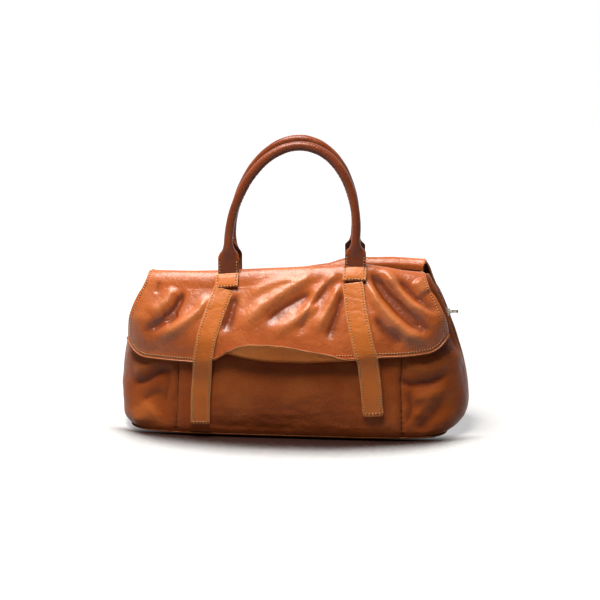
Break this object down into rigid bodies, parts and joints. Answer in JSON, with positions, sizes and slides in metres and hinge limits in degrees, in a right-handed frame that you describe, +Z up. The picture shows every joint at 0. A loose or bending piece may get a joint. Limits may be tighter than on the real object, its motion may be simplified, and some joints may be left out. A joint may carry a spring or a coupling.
{
  "type": "leather handbag",
  "caption": "Soft leather satchel with a front flap held by two hanging straps, two arched rolled handles and a zip over the top and down both ends.",
  "frame": {"origin": "on the floor under the middle of the bag's bounding box", "axes": "+X to the right of the front view along the bag's length, +Y to the rear, +Z up"},
  "size_m": [0.4204, 0.159, 0.3481],
  "materials": {
    "body_leather": "gloss",
    "flap_leather": "gloss",
    "handle_leather": "satin",
    "lining_fabric": "matte",
    "fibre_board": "matte",
    "zip_tape": "matte",
    "zip_coil": "satin",
    "zip_metal": "satin",
    "handle_core": "matte"
  },
  "bodies": {
    "bag": {"front_panel": "body_leather", "front_right_panel": "body_leather", "front_left_panel": "body_leather", "back_panel": "body_leather", "back_right_panel": "body_leather", "back_left_panel": "body_leather", "base_panel": "body_leather", "base_board": "fibre_board", "front_left_foot": "zip_metal", "front_right_foot": "zip_metal", "rear_left_foot": "zip_metal", "rear_right_foot": "zip_metal", "lining": "lining_fabric", "flap_root": "flap_leather", "back_yoke": "body_leather", "front_left_tab": "flap_leather", "front_right_tab": "flap_leather", "rear_left_tab": "body_leather", "rear_right_tab": "body_leather", "front_zip_tape": "zip_tape", "rear_zip_tape": "zip_tape", "front_zip_teeth": "zip_coil", "rear_zip_teeth": "zip_coil", "zip_bottom_stop": "zip_metal"},
    "flap": {"flap_leather": "flap_leather", "flap_facing": "body_leather"},
    "left_strap": {"left_strap_leather": "flap_leather", "left_strap_backing": "body_leather"},
    "right_strap": {"right_strap_leather": "flap_leather", "right_strap_backing": "body_leather"},
    "front_handle": {"front_handle_sleeve": "handle_leather", "front_handle_core": "handle_core"},
    "rear_handle": {"rear_handle_sleeve": "handle_leather", "rear_handle_core": "handle_core"},
    "slider": {"zip_slider": "zip_metal"},
    "pull": {"zip_pull": "zip_metal"}
  },
  "joints": [
    {"name": "flap_fold", "type": "hinge", "parent": "bag", "child": "flap", "pos_m": [-0.0012, -0.03385, 0.17816], "axis": [-1, 0, 0], "range_deg": [0, 110]},
    {"name": "left_strap_fold", "type": "hinge", "parent": "flap", "child": "left_strap", "pos_m": [-0.0782, -0.04039, 0.17458], "axis": [1, 0, 0], "range_deg": [-85, 0]},
    {"name": "right_strap_fold", "type": "hinge", "parent": "flap", "child": "right_strap", "pos_m": [0.0758, -0.04039, 0.17458], "axis": [1, 0, 0], "range_deg": [-85, 0]},
    {"name": "front_handle_fold", "type": "hinge", "parent": "bag", "child": "front_handle", "pos_m": [-0.0012, -0.02706, 0.19387], "axis": [-1, 0, 0], "range_deg": [-75, 7]},
    {"name": "rear_handle_fold", "type": "hinge", "parent": "bag", "child": "rear_handle", "pos_m": [-0.0012, 0.03206, 0.19387], "axis": [-1, 0, 0], "range_deg": [-7, 75]},
    {"name": "zip_travel", "type": "slide", "parent": "bag", "child": "slider", "axis": [0.2426, 0, -0.9701], "range_m": [0, 0.088]},
    {"name": "pull_swing", "type": "hinge", "parent": "slider", "child": "pull", "pos_m": [0.18441, 0.0025, 0.1415], "axis": [0, 1, 0], "range_deg": [-80, 80]}
  ]
}
